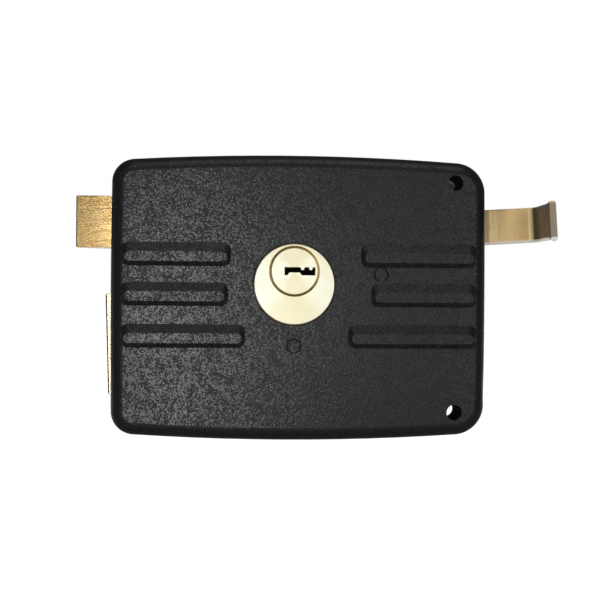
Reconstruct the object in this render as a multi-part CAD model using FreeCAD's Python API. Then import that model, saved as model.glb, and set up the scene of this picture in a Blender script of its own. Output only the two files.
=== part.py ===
"""Surface-mounted gate lock: a cast cover over a steel back plate, a sprung latch with a bent pull
hook, a geared deadbolt, and a dimple-key cylinder on each side of the gate.

Frame, in millimetres: +X to the right as seen from the room side, +Y into the gate, +Z up.
The origin is where the axis of the key cylinders meets the gate's face, which is the plane y = 0."""
import FreeCAD
import Part
import math
import os

V = FreeCAD.Vector

# Cover
case_width = 128.0
case_height = 97.0
case_depth = 34.0
case_mid_x = 2.15           # the cylinders sit this far left of the middle
case_mid_z = -4.5
case_wall = 2.3
face_wall = 2.5
top_bow = 2.4               # how far the top and bottom edges bulge past their corners
side_bow = 0.35
corner_r_left = 8.0
corner_r_right = 10.5
front_edge_r = 4.4
sink_mark_r = 2.6           # shallow round dishes in the face over two of the bosses
sink_mark_slope = 0.6
sink_mark_depth = 0.3

# Raised ribs on the cover's face, three on each side
rib_levels = (9.9, -3.5, -17.6)
rib_inner_left = (-21.4, -22.3, -16.5)
rib_inner_right = (22.7, 26.2, 18.4)
rib_outer_gap = 3.6         # from the side of the case to the end of a rib
rib_height = 1.3
rib_sunk = 0.6
rib_width = 8.0
rib_slope_up = 3.1
rib_slope_down = 1.6
rib_slope_end = 1.3
rib_end_r = 3.0
rib_crest_flat = 0.2        # the straight stretch at each end of a crest

# Key cylinders, the same section on both sides of the gate
barrel_r = 13.8
barrel_proud = 1.6          # how far the inner barrel stands out of the cover
barrel_hole_gap = 0.3
barrel_edge = 0.4
outer_barrel_length = 42.0
plug_z = 4.4
plug_r = 8.15
plug_running_gap = 0.05
plug_proud = 0.3
plug_edge = 0.4
keyway_left = -3.4
keyway_right = 7.0
keyway_height = 2.75
keyway_end_wall = 1.8       # between the keyway's end and the end of the inner barrel
ward_depth = 0.95
top_wards = ((2.0, 3.4), (4.8, 6.2))
top_ward_slope = 0.3
low_ward = (-2.4, 2.4)
low_ward_slope = 0.65
pin_count = 5
pin_first = 3.4
pin_last = 3.6              # from the end of the inner barrel to the last pin's axis
pin_r = 1.25
pin_gap = 0.05
driver_length = 3.6
pin_spring_length = 3.6
pin_spring_wall = 0.35
chamber_cap_length = 1.6
shank_r = 5.5
shank_length = 1.9
clip_thick = 1.0
clip_r = 8.9
clip_room = 0.4
clip_mouth = 4.0            # half of the clip's opening
clip_step = 0.1             # from the end of the barrel to the clip
groove_deep = 0.6
clip_pocket_depth = 2.3     # in the outer barrel's inner end, so that its clip lies within it
tang_width = 9.0
tang_thick = 3.0
tang_gap = 0.1
tang_step = 1.0             # from the gear's front to the end of the inner plug's tail
outer_tail_width = 8.4
outer_tail_thick = 2.6
outer_tail_depth = 4.2

# Layers of the mechanism, measured from the gate's face towards the room
plate_thick = 2.0
gear_back = 2.4
gear_thick = 4.0
rack_back = 8.9
rack_thick = 3.0
bridge_back = 12.4
bridge_thick = 1.8

# Gear train
module = 1.1
drive_teeth = 16
reduction_teeth = 30
pinion_teeth = 12
pressure_angle = 20.0
gear_addendum = 0.95
gear_dedendum = 1.3
pinion_addendum = 0.9
pinion_dedendum = 1.05
rack_addendum = 0.7
rack_dedendum = 1.2
tooth_play = 0.14           # each tooth is this much thinner than half a pitch
drive_hub_r = 6.6
hub_step = 0.1              # the hub ends this far in front of the rack's layer
pinion_side = 0.2           # how far the pinion stands past the rack on each side
lightening_holes = 5
lightening_r = 2.6
lightening_ring_r = 10.6
tail_room_r = 5.2
axle_r = 2.5
axle_gap = 0.05
axle_boss_r = 4.6
axle_shoulder_r = 4.0
axle_in_boss = 7.5
small_clip_thick = 0.8
small_clip_r = 4.2
small_clip_mouth = 0.7      # half of the opening, as a part of the shaft's radius

# Deadbolt
deadbolt_top = -3.4
deadbolt_boss_gap = 2.6     # to the screw boss below it
deadbolt_thick = 14.0
deadbolt_back = 7.0
deadbolt_proud = 2.55       # at its top corner, drawn in
deadbolt_slant = 1.8        # degrees that its end face leans
deadbolt_length = 33.4
bolt_gap = 0.4
rack_margin = 9.0           # from the root of its teeth to its lower edge
rack_slot_drop = 5.6        # from the root of its teeth to the middle of its slots
rack_teeth_left = -9.0
rack_teeth_right = 31.5
rack_end_step = 5.0         # from the rack's end to the lever's stud
tongue_length = 6.5
guide_r = 2.0
guide_gap = 0.15
guide_step = 5.5            # from the deadbolt's head to the first guide
slot_end_wall = 2.73        # past the second guide's slot
guide_head_r = 3.6
guide_base_r = 2.45
guide_head_thick = 1.4
rivet_r = 1.5
rivet_head_r = 2.7
rivet_head_thick = 1.2
tongue_margin = 3.5         # from the head's top and bottom to the rack plate's tongue
rack_fit = 0.05
deadbolt_edge = 0.5

# Latch, its bar and the pull hook
latch_travel = 12.0
latch_proud = 12.4
latch_bottom = 12.25
latch_height = 17.75
latch_thick = 14.0
latch_back = 10.0
latch_length = 28.4
latch_nose = 2.0
latch_bevel_gap = 0.6       # the bevel ends this far outside the cover
latch_edge = 0.4
bar_width = 12.4
bar_z = 21.2
bar_thick = 1.6
bar_back = 14.3
bar_end_step = 15.65        # from the bar's right end to the outside of the case
bar_lap = 8.0
bar_corner_r = 3.0
hook_width = 12.5
hook_thick = 2.2
hook_tilt = 3.7             # degrees that the hook rises to the right
hook_z_at_wall = 20.75
hook_inside = 42.15         # how far the strip reaches into the case
hook_reach = 20.65          # from the case to the finger side of the bent end
hook_bend_r = 2.3
hook_bend_angle = 91.0
hook_arm = 19.2
hook_flare = 6.0            # the last stretch of the finger end, which widens
hook_flare_steps = (0.0, 0.4, 0.7, 1.0)
hook_end_width = 14.2
hook_corner_r = 1.8
hook_low_edge_r = 1.0
hook_top_edge_r = 0.5
first_rivet_step = 4.5      # from the strip's left end
second_rivet_step = 6.5     # to the right of the lever's pin

# Latch spring, its rod and the bracket it pushes against
spring_r = 3.0
spring_wire = 0.8
spring_turns = 9
spring_depth = 20.2
spring_seat_gap = 0.1
rod_r = 1.7
rod_seat = 6.0
rod_gap = 0.35
rod_reach = 3.2
spring_room = 25.85         # from the latch head to the bracket
bracket_thick = 2.5
bracket_front = 24.0
bracket_stem_gap = 1.2
bracket_stem = 6.0
bracket_clear = 0.7
bracket_arm_below = 4.7
foot_length = 9.0
foot_thick = 2.0
foot_rivet_steps = (2.7, 6.75)

# Latch lever
lever_from_right = 19.15
lever_from_bottom = 11.0
lever_thick = 2.2
lever_half_width = 3.3
lever_pin_r = 2.0
lever_pin_head_r = 3.2
lever_slot_gap = 0.25
lever_corner_r = 3.0
lever_slot_end = 0.3
lever_pin_past = 0.4
stud_r = 2.0
stud_groove = 0.5
stud_clip_r = 3.6
stud_flange_r = 3.2
stud_past = 1.0             # in front of its clip
lever_top_half_width = 4.2
lever_top_past = 4.5

# Fasteners and holes
mount_hole_r = 2.7
mount_hole_from_right = 11.05
mount_hole_from_top = 9.0
mount_hole_from_bottom = 9.6
mount_tube_r = 4.7
low_tube_length = 14.5
top_tube_gap = 0.8          # from the hook to the upper hole's tube in front of it
plate_hole_r = 3.4
plate_notch_r = 6.2          # opens the plate's lower right corner behind the mounting hole
plate_notch_shift = 4.5
boss_r = 3.6
boss_from_top = 7.4
left_boss_step = 4.55       # from the drawn-in latch to the upper left boss's axis
right_boss_from_right = 24.15
corner_boss_from_left = 9.35
corner_boss_from_bottom = 8.4
low_boss_x = 14.0
low_boss_from_bottom = 6.6
middle_boss_z = 3.6
middle_boss_share = 0.363   # of the free room from the bridge to the lever
cover_screw_r = 1.5
cover_screw_length = 11.0
thread_gap = 0.05
thread_run_out = 1.0
csk_extra = 1.5             # how much wider a countersunk head is than its shank, all round
recess_reach = 0.55         # the cross recess, as parts of the head's radius
recess_half_width = 0.13
recess_depth = 0.35
tap_hole_r = 2.1
tap_from_left = 17.85
tap_from_top = 9.0
tap_from_bottom = 8.4
cylinder_screw_r = 1.9
cylinder_screw_x = 9.6
cylinder_screw_z = -5.8
cylinder_screw_length = 8.0
pan_head_r = 3.3
pan_head_thick = 1.8
post_r = 2.6
post_x = 19.5
post_z = -2.0
post_screw_r = 1.25
post_screw_length = 5.0
bridge_corner_r = 3.0
bridge_half_width = 23.0
bridge_low = -10.0
bridge_high = 8.0
bridge_notch_r = 9.4

# Fits
plate_gap = 0.3             # between the back plate's edge and the cover
over = 1.0                  # how far cutting bodies run past the faces that they cut

case_left = case_mid_x - case_width / 2
case_right = case_mid_x + case_width / 2
case_top = case_mid_z + case_height / 2
case_bottom = case_mid_z - case_height / 2
gear_front = gear_back + gear_thick
rack_front = rack_back + rack_thick
bridge_front = bridge_back + bridge_thick
bar_front = bar_back + bar_thick
hook_front = bar_front + hook_thick
inner_face = case_depth + barrel_proud
inner_length = inner_face - bridge_front
pin_pitch = (inner_length - pin_first - pin_last) / (pin_count - 1)
keyway_depth = inner_length - keyway_end_wall

latch_tip = case_left - latch_proud
latch_inner = latch_tip + latch_length
latch_front = latch_back + latch_thick
bracket_x = latch_inner + spring_room
bar_right_x = case_right - bar_end_step
hook_left_x = case_right - hook_inside
hook_face_x = case_right + hook_reach
lever_x = case_right - lever_from_right
lever_z = case_bottom + lever_from_bottom
lever_pin_x = lever_x - latch_travel / 2
lever_reach = bar_z - lever_z
lever_swing = math.degrees(math.atan(latch_travel / 2 / lever_reach))

mount_hole_x = case_right - mount_hole_from_right
mount_hole_top = case_top - mount_hole_from_top
mount_hole_bottom = case_bottom + mount_hole_from_bottom
top_boss_z = case_top - boss_from_top
corner_boss_z = case_bottom + corner_boss_from_bottom
low_boss_z = case_bottom + low_boss_from_bottom
lever_lean = (middle_boss_z - lever_z) * math.tan(math.radians(lever_swing))
middle_boss_room = lever_x - lever_lean - lever_top_half_width - bridge_half_width - 2 * boss_r
boss_places = (
    (latch_inner + latch_travel + left_boss_step, top_boss_z),
    (case_right - right_boss_from_right, top_boss_z),
    (case_left + corner_boss_from_left, corner_boss_z),
    (low_boss_x, low_boss_z),
    (bridge_half_width + boss_r + middle_boss_share * middle_boss_room, middle_boss_z),
)
tap_x = case_left + tap_from_left
tap_places = ((tap_x, case_top - tap_from_top), (tap_x, case_bottom + tap_from_bottom))

reduction_z = plug_z - module * (drive_teeth + reduction_teeth) / 2
rack_pitch_z = reduction_z - module * pinion_teeth / 2
rack_root_z = rack_pitch_z - rack_dedendum
rack_bottom_z = rack_root_z - rack_margin
rack_slot_z = rack_root_z - rack_slot_drop
rack_end_x = lever_x - rack_end_step
bolt_throw = 2 * math.pi * (module * pinion_teeth / 2) * drive_teeth / reduction_teeth
deadbolt_bottom = corner_boss_z + boss_r + deadbolt_boss_gap
deadbolt_height = deadbolt_top - deadbolt_bottom
deadbolt_front = deadbolt_back + deadbolt_thick
deadbolt_tip = case_left - deadbolt_proud
deadbolt_inner = deadbolt_tip + deadbolt_length
guide_places = (
    deadbolt_inner + guide_step,
    rack_end_x - bolt_throw - guide_r - guide_gap - slot_end_wall,
)


def rod(x, z, r, back, front):
    """Round bar along Y. back and front are depths from the gate's face, towards the room."""
    return Part.makeCylinder(r, front - back, V(x, -front, z), V(0, 1, 0))


def block(x0, x1, back, front, z0, z1):
    """Box between two x, two depths and two heights."""
    return Part.makeBox(x1 - x0, front - back, z1 - z0, V(x0, -front, z0))


def plate(points, back, front):
    """Flat plate with a straight-sided outline of (x, z) points."""
    corners = [V(x, -front, z) for x, z in points]
    outline = Part.makePolygon(corners + corners[:1])
    return Part.Face(outline).extrude(V(0, front - back, 0))


def slot(x0, x1, z, r, back, front):
    """Round-ended bar that lies along X."""
    middle = block(x0, x1, back, front, z - r, z + r)
    return middle.fuse([rod(x0, z, r, back, front), rod(x1, z, r, back, front)]).removeSplitter()


def cone(x, z, r0, r1, y0, y1):
    """Cone along Y with radius r0 at y0 and r1 at y1, where y1 is the larger."""
    return Part.makeCone(r0, r1, y1 - y0, V(x, y0, z), V(0, 1, 0))


def edges_along(shape, direction):
    """The straight edges that run along a direction."""
    found = []
    for edge in shape.Edges:
        run = edge.Vertexes[-1].Point.sub(edge.Vertexes[0].Point)
        if run.Length > 1e-6 and run.normalize().cross(direction).Length < 1e-6:
            found.append(edge)
    return found


def group(shapes):
    """Several like solids in one node."""
    return Part.makeCompound(shapes)


def save(name, shape):
    os.makedirs("parts", exist_ok=True)
    shape.exportStep("parts/" + name + ".step")


def case_block(inset, front, back, edge_r):
    """The case's rounded block, drawn in by an inset all round, with its front edge rounded."""
    left, right = case_left + inset, case_right - inset
    top, bottom = case_top - inset, case_bottom + inset
    corners = {
        "tl": V(left + side_bow, -front, top - top_bow),
        "tr": V(right - side_bow, -front, top - top_bow),
        "br": V(right - side_bow, -front, bottom + top_bow),
        "bl": V(left + side_bow, -front, bottom + top_bow),
    }
    middles = {
        "top": V(case_mid_x, -front, top),
        "right": V(right, -front, case_mid_z),
        "bottom": V(case_mid_x, -front, bottom),
        "left": V(left, -front, case_mid_z),
    }
    sides = [("tl", "top", "tr"), ("tr", "right", "br"), ("br", "bottom", "bl"), ("bl", "left", "tl")]
    edges = [Part.Arc(corners[a], middles[m], corners[b]).toShape() for a, m, b in sides]
    body = Part.Face(Part.Wire(edges)).extrude(V(0, front - back, 0))
    for r, is_left in ((corner_r_left - inset, True), (corner_r_right - inset, False)):
        corner_edges = [e for e in edges_along(body, V(0, 1, 0)) if (e.CenterOfMass.x < case_mid_x) == is_left]
        body = body.makeFillet(r, corner_edges)
    if edge_r > 0:
        rim = [e for e in body.Edges if all(abs(v.Point.y + front) < 1e-6 for v in e.Vertexes)]
        body = body.makeFillet(edge_r, rim)
    return body


def rounded_outline(x0, x1, z0, z1, r, y):
    """Wire of a rectangle with round corners, in a plane across Y."""
    bend = r * (1 - math.sqrt(0.5))
    lines = [
        Part.LineSegment(V(x0 + r, y, z0), V(x1 - r, y, z0)),
        Part.Arc(V(x1 - r, y, z0), V(x1 - bend, y, z0 + bend), V(x1, y, z0 + r)),
        Part.LineSegment(V(x1, y, z0 + r), V(x1, y, z1 - r)),
        Part.Arc(V(x1, y, z1 - r), V(x1 - bend, y, z1 - bend), V(x1 - r, y, z1)),
        Part.LineSegment(V(x1 - r, y, z1), V(x0 + r, y, z1)),
        Part.Arc(V(x0 + r, y, z1), V(x0 + bend, y, z1 - bend), V(x0, y, z1 - r)),
        Part.LineSegment(V(x0, y, z1 - r), V(x0, y, z0 + r)),
        Part.Arc(V(x0, y, z0 + r), V(x0 + bend, y, z0 + bend), V(x0 + r, y, z0)),
    ]
    return Part.Wire([line.toShape() for line in lines])


def rib(x0, x1, z):
    """One raised rib: a wide upper slope, a flat crest and a steep lower slope. Its foot lies in the wall."""
    sunk = rib_sunk / rib_height
    z0, z1 = z - rib_width / 2, z + rib_width / 2
    crest_r = (rib_width - rib_slope_up - rib_slope_down - rib_crest_flat) / 2
    foot = rounded_outline(
        x0 - rib_slope_end * sunk, x1 + rib_slope_end * sunk, z0 - rib_slope_down * sunk,
        z1 + rib_slope_up * sunk, rib_end_r, -case_depth + rib_sunk)
    crest = rounded_outline(
        x0 + rib_slope_end, x1 - rib_slope_end, z0 + rib_slope_down, z1 - rib_slope_up, crest_r,
        -case_depth - rib_height)
    return Part.makeLoft([foot, crest], True, True)


def ribs():
    made = []
    for level, inner_left, inner_right in zip(rib_levels, rib_inner_left, rib_inner_right):
        made.append(rib(case_left + rib_outer_gap, inner_left, level))
        made.append(rib(inner_right, case_right - rib_outer_gap, level))
    return made


def mount_holes(r, back, front):
    return [rod(mount_hole_x, z, r, back, front) for z in (mount_hole_top, mount_hole_bottom)]


def front_cover():
    cavity_front = case_depth - face_wall
    shell = case_block(0, case_depth, 0, front_edge_r)
    shell = shell.cut(case_block(case_wall, cavity_front, 0, front_edge_r - case_wall))
    root = cavity_front + face_wall / 2
    bosses = [rod(x, z, boss_r, plate_thick, root) for x, z in boss_places]
    bosses.append(rod(0, reduction_z, axle_boss_r, bridge_front, root))
    bosses.append(rod(mount_hole_x, mount_hole_top, mount_tube_r, hook_front + top_tube_gap, root))
    bosses.append(rod(mount_hole_x, mount_hole_bottom, mount_tube_r, cavity_front - low_tube_length, root))
    shell = shell.fuse(ribs() + bosses).removeSplitter()
    past = case_depth + rib_height + over
    cuts = mount_holes(mount_hole_r, 0, past)
    cuts.append(rod(0, 0, barrel_r + barrel_hole_gap, plate_thick, past))
    cuts.append(rod(0, reduction_z, axle_r + axle_gap, 0, bridge_front + axle_in_boss))
    thread_depth = cover_screw_length + thread_run_out
    cuts += [rod(x, z, cover_screw_r + thread_gap, 0, thread_depth) for x, z in boss_places]
    cuts += [latch_window(), deadbolt_window(), hook_window()]
    marks = (boss_places[-1], (0, reduction_z))
    cuts += [sink_mark(x, z) for x, z in marks]
    for cut in cuts:
        shell = shell.cut(cut)
    return shell


def sink_mark(x, z):
    floor_r = sink_mark_r - sink_mark_slope
    return cone(x, z, sink_mark_r, floor_r, -case_depth, -case_depth + sink_mark_depth)


def latch_window():
    return block(
        case_left - over, case_left + 2 * case_wall, latch_back - bolt_gap, latch_front + bolt_gap,
        latch_bottom - bolt_gap, latch_bottom + latch_height + bolt_gap)


def deadbolt_window():
    return block(
        case_left - over, case_left + 2 * case_wall, deadbolt_back - bolt_gap, deadbolt_front + bolt_gap,
        deadbolt_bottom - bolt_gap, deadbolt_top + bolt_gap)


def hook_window():
    """The slot in the right wall. It leaves room for the slanted strip over its whole travel."""
    tall = hook_width / 2 / math.cos(math.radians(hook_tilt))
    drop = latch_travel * math.tan(math.radians(hook_tilt))
    room = 2 * bolt_gap
    return block(
        case_right - 2 * case_wall, case_right + over, bar_front - room, hook_front + room,
        hook_z_at_wall - tall - drop - room, hook_z_at_wall + tall + room)


def back_plate():
    sheet = case_block(case_wall + plate_gap, plate_thick, 0, 0)
    for x, z in boss_places:
        shank = rod(x, z, cover_screw_r + thread_gap, 0, plate_thick)
        sheet = sheet.cut(shank).cut(csk_room(x, z, cover_screw_r, -1))
    for x, z in screw_spots():
        shank = rod(x, z, cylinder_screw_r + thread_gap, 0, plate_thick)
        sheet = sheet.cut(shank).cut(csk_room(x, z, cylinder_screw_r, 1))
    cuts = mount_holes(plate_hole_r, 0, plate_thick)
    cuts += [rod(x, z, rivet_r, 0, plate_thick) for x, z in post_spots()]
    cuts.append(rod(mount_hole_x + plate_notch_shift, mount_hole_bottom, plate_notch_r, 0, plate_thick))
    cuts += [rod(x, z, tap_hole_r, 0, plate_thick) for x, z in tap_places]
    cuts += [rod(x, rack_slot_z, rivet_r, 0, plate_thick) for x in guide_places]
    cuts += [rod(x, bracket_rivet_z(), rivet_r, 0, plate_thick) for x in bracket_rivet_places()]
    cuts.append(rod(0, plug_z, tail_room_r, 0, plate_thick))
    cuts.append(rod(0, reduction_z, axle_r, 0, plate_thick))
    cuts.append(rod(lever_x, lever_z, stud_r, 0, plate_thick))
    for cut in cuts:
        sheet = sheet.cut(cut)
    return sheet


def csk_room(x, z, r, side):
    """Cone for a countersunk head. side is -1 for a head flush with the gate's face, 1 for the room side."""
    wide, narrow = r + csk_extra + thread_gap, r + thread_gap
    if side < 0:
        return cone(x, z, narrow, wide, -csk_extra, 0)
    return cone(x, z, wide, narrow, -plate_thick, -plate_thick + csk_extra)


def cover_screws():
    """Countersunk screws through the back plate into the cover's bosses, with a cross recess."""
    made = []
    for x, z in boss_places:
        screw = rod(x, z, cover_screw_r, csk_extra, cover_screw_length)
        screw = screw.fuse(cone(x, z, cover_screw_r, cover_screw_r + csk_extra, -csk_extra, 0))
        made.append(cross_recess(screw.removeSplitter(), x, z, cover_screw_r + csk_extra, 0, -1))
    return group(made)


def cross_recess(screw, x, z, head_r, face, side):
    """Cuts a cross into a head whose face lies at a depth. side is -1 for a face towards the gate."""
    half, wide, deep = head_r * recess_reach, head_r * recess_half_width, head_r * recess_depth
    back, front = (face - over, face + deep) if side < 0 else (face - deep, face + over)
    screw = screw.cut(block(x - half, x + half, back, front, z - wide, z + wide))
    return screw.cut(block(x - wide, x + wide, back, front, z - half, z + half))


def between(face, way, d0, d1):
    """Back and front depth of a stretch from d0 to d1 behind a cylinder's face. way is 1 on the room side."""
    a, b = face - way * d0, face - way * d1
    return min(a, b), max(a, b)


def pin_depths(face, way):
    return [face - way * (pin_first + pin_pitch * i) for i in range(pin_count)]


def upright(depth, r, z0, z1):
    """Round bar along Z under the plug's axis."""
    return Part.makeCylinder(r, z1 - z0, V(0, -depth, z0), V(0, 0, 1))


def screw_spots():
    return [(side * cylinder_screw_x, cylinder_screw_z) for side in (-1, 1)]


def barrel(face, way, length, clip_pocket):
    """A round cylinder body, bored for its plug, with pin chambers under the plug and two threaded holes."""
    body = rod(0, 0, barrel_r, *between(face, way, 0, length))
    rim = [e for e in body.Edges if abs(e.CenterOfMass.y + face) < 1e-6]
    body = body.makeChamfer(barrel_edge, rim)
    bore_r = plug_r + plug_running_gap
    body = body.cut(rod(0, plug_z, bore_r, *between(face, way, -over, length + over)))
    mouth = Part.makeCone(bore_r + plug_edge, bore_r, plug_edge, V(0, -face, plug_z), V(0, way, 0))
    body = body.cut(mouth)
    if clip_pocket:
        pocket = between(face, way, length - clip_pocket, length + over)
        body = body.cut(rod(0, plug_z, clip_r + clip_room, *pocket))
    for depth in pin_depths(face, way):
        body = body.cut(upright(depth, pin_r + pin_gap, -barrel_r - over, plug_z - plug_r + over))
    threads = between(face, way, length - cylinder_screw_length - thread_run_out, length + over)
    for x, z in screw_spots():
        body = body.cut(rod(x, z, cylinder_screw_r + thread_gap, *threads))
    return body


def keyway(face, way):
    """The slot for a flat dimple key, with two wards from above and a wide one from below."""
    half = keyway_height / 2
    low, high = -half + ward_depth, half - ward_depth
    outline = [(keyway_left, half)]
    for x0, x1 in top_wards:
        outline += [(x0, half), (x0 + top_ward_slope, high), (x1 - top_ward_slope, high), (x1, half)]
    x0, x1 = low_ward
    outline += [
        (keyway_right, half), (keyway_right, -half), (x1, -half), (x1 - low_ward_slope, low),
        (x0 + low_ward_slope, low), (x0, -half), (keyway_left, -half),
    ]
    points = [(x, plug_z + z) for x, z in outline]
    return plate(points, *between(face, way, -over, keyway_depth))


def plug(face, way, length, tang_end, width, thick):
    """A turning plug with its keyway, pin holes, clip groove and flat tail."""
    body = rod(0, plug_z, plug_r, *between(face, way, -plug_proud, length))
    rim = [e for e in body.Edges if abs(e.CenterOfMass.y + face + way * plug_proud) < 1e-6]
    body = body.makeChamfer(plug_edge, rim)
    body = body.fuse(rod(0, plug_z, shank_r, *between(face, way, length, length + shank_length)))
    tang = between(face, way, length + shank_length, tang_end)
    body = body.fuse(block(-width / 2, width / 2, *tang, plug_z - thick / 2, plug_z + thick / 2))
    groove = between(face, way, length + clip_step, length + clip_step + clip_thick + plug_running_gap)
    ring = rod(0, plug_z, plug_r + over, *groove).cut(rod(0, plug_z, shank_r - groove_deep, *groove))
    body = body.cut(ring).cut(keyway(face, way))
    for depth in pin_depths(face, way):
        body = body.cut(upright(depth, pin_r + pin_gap, plug_z - plug_r - over, plug_z))
    return body


def plug_clip(face, way, length):
    """Open spring clip in the plug's groove, which stops the plug from being pulled out."""
    stretch = between(face, way, length + clip_step, length + clip_step + clip_thick)
    hole_r = shank_r - groove_deep + plug_running_gap
    ring = rod(0, plug_z, clip_r, *stretch).cut(rod(0, plug_z, hole_r, *stretch))
    return ring.cut(block(-clip_mouth, clip_mouth, *stretch, plug_z, plug_z + clip_r + over))


def key_pins(face, way):
    """Pins inside the plug, lifted to the shear line as a key holds them."""
    foot = plug_z - math.sqrt(plug_r ** 2 - pin_r ** 2)
    tip = plug_z - keyway_height / 2 + ward_depth
    pins = []
    for depth in pin_depths(face, way):
        body = upright(depth, pin_r, foot, tip - pin_r / 2)
        point = Part.makeCone(pin_r, pin_r / 2, pin_r / 2, V(0, -depth, tip - pin_r / 2), V(0, 0, 1))
        pins.append(body.fuse(point).removeSplitter())
    return group(pins)


def driver_top():
    return plug_z - plug_r - plug_running_gap


def driver_pins(face, way):
    top = driver_top()
    return group([upright(d, pin_r, top - driver_length, top) for d in pin_depths(face, way)])


def pin_springs(face, way):
    """The small springs under the driver pins, as plain tubes of the spring's size."""
    top = driver_top() - driver_length
    bottom = top - pin_spring_length
    made = []
    for depth in pin_depths(face, way):
        tube = upright(depth, pin_r, bottom, top)
        made.append(tube.cut(upright(depth, pin_r - pin_spring_wall, bottom, top)))
    return group(made)


def chamber_caps(face, way):
    top = driver_top() - driver_length - pin_spring_length
    return group([upright(d, pin_r, top - chamber_cap_length, top) for d in pin_depths(face, way)])


def gear(teeth, addendum, dedendum, first_tooth, z, back, front):
    """Spur gear with involute flanks about x = 0. first_tooth is one tooth's angle, in degrees from +X."""
    pitch_r = module * teeth / 2
    base_r = pitch_r * math.cos(math.radians(pressure_angle))
    tip_r, root_r = pitch_r + addendum, pitch_r - dedendum
    half_pitch = (math.pi * module / 2 - tooth_play) / (2 * pitch_r)
    flank_start = max(base_r, root_r)

    def involute(r):
        slope = math.acos(min(1.0, base_r / r))
        return math.tan(slope) - slope

    def point(r, angle):
        return V(r * math.cos(angle), -front, z + r * math.sin(angle))

    def half_width(r):
        return half_pitch + involute(pitch_r) - involute(r)

    middle_r = (flank_start + tip_r) / 2
    step = 2 * math.pi / teeth
    edges = []
    for k in range(teeth):
        a = math.radians(first_tooth) + step * k
        up = [point(r, a - half_width(r)) for r in (flank_start, middle_r, tip_r)]
        down = [point(r, a + half_width(r)) for r in (tip_r, middle_r, flank_start)]
        root_in = point(root_r, a - half_width(flank_start))
        root_out = point(root_r, a + half_width(flank_start))
        next_in = point(root_r, a + step - half_width(flank_start))
        if root_r < base_r - 1e-6:
            edges.append(Part.LineSegment(root_in, up[0]).toShape())
        edges.append(Part.Arc(*up).toShape())
        edges.append(Part.Arc(up[2], point(tip_r, a), down[0]).toShape())
        edges.append(Part.Arc(*down).toShape())
        if root_r < base_r - 1e-6:
            edges.append(Part.LineSegment(down[2], root_out).toShape())
        edges.append(Part.Arc(root_out, point(root_r, a + step / 2), next_in).toShape())
    return Part.Face(Part.Wire(edges)).extrude(V(0, front - back, 0))


def drive_gear():
    """Gear on the key's axis, driven by the inner plug's tail, with a round room for the outer one's tail."""
    body = gear(drive_teeth, gear_addendum, gear_dedendum, -90, plug_z, gear_back, gear_front)
    hub_front = rack_front + hub_step
    body = body.fuse(rod(0, plug_z, drive_hub_r, gear_back, hub_front)).removeSplitter()
    half_w, half_t = tang_width / 2 + tang_gap, tang_thick / 2 + tang_gap
    seat_back = tang_back() - tang_gap
    body = body.cut(block(-half_w, half_w, seat_back, hub_front + over, plug_z - half_t, plug_z + half_t))
    return body.cut(rod(0, plug_z, tail_room_r - tang_gap, gear_back - over, outer_tail_depth + 2 * tang_gap))


def tang_back():
    """Depth of the inner plug's tail end."""
    return gear_front + tang_step


def reduction_gear():
    """Large gear and pinion in one piece, on the fixed axle."""
    wheel = gear(
        reduction_teeth, gear_addendum, gear_dedendum, 90 + 180 / reduction_teeth, reduction_z,
        gear_back, gear_front)
    pinion_back = rack_back - pinion_side
    pinion = gear(
        pinion_teeth, pinion_addendum, pinion_dedendum, -90, reduction_z, pinion_back, rack_front + pinion_side)
    hub_r = module * pinion_teeth / 2 - pinion_dedendum
    body = wheel.fuse([pinion, rod(0, reduction_z, hub_r, gear_back, pinion_back + over)]).removeSplitter()
    body = body.cut(rod(0, reduction_z, axle_r + axle_gap, 0, case_depth))
    for k in range(lightening_holes):
        angle = 2 * math.pi * (k + 0.5) / lightening_holes
        x = lightening_ring_r * math.cos(angle)
        z = reduction_z + lightening_ring_r * math.sin(angle)
        body = body.cut(rod(x, z, lightening_r, 0, gear_front + over))
    return body


def gear_axle():
    """Fixed axle, riveted in the back plate, with its other end in the cover's boss."""
    end = bridge_front + axle_in_boss - axle_gap
    body = rod(0, reduction_z, axle_r, 0, end)
    body = body.fuse(rod(0, reduction_z, axle_shoulder_r, plate_thick, gear_back - axle_gap)).removeSplitter()
    groove = (clip_back(), clip_back() + small_clip_thick + axle_gap)
    ring = rod(0, reduction_z, axle_r + over, *groove).cut(rod(0, reduction_z, axle_r - groove_deep, *groove))
    return body.cut(ring)


def clip_back():
    """Depth where the axle's clip sits, just in front of the pinion."""
    return rack_front + pinion_side + axle_gap


def axle_clip():
    stretch = (clip_back(), clip_back() + small_clip_thick)
    ring = rod(0, reduction_z, small_clip_r, *stretch)
    ring = ring.cut(rod(0, reduction_z, axle_r - groove_deep + axle_gap, *stretch))
    mouth = axle_r * small_clip_mouth
    return ring.cut(block(-mouth, mouth, *stretch, reduction_z, reduction_z + small_clip_r + over))


def deadbolt_rivet_spots():
    x = deadbolt_inner - tongue_length / 2
    middle = deadbolt_top - deadbolt_height / 2
    return [(x, middle + side * deadbolt_height / 4) for side in (-1, 1)]


def tongue_top():
    return deadbolt_top - tongue_margin


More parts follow.
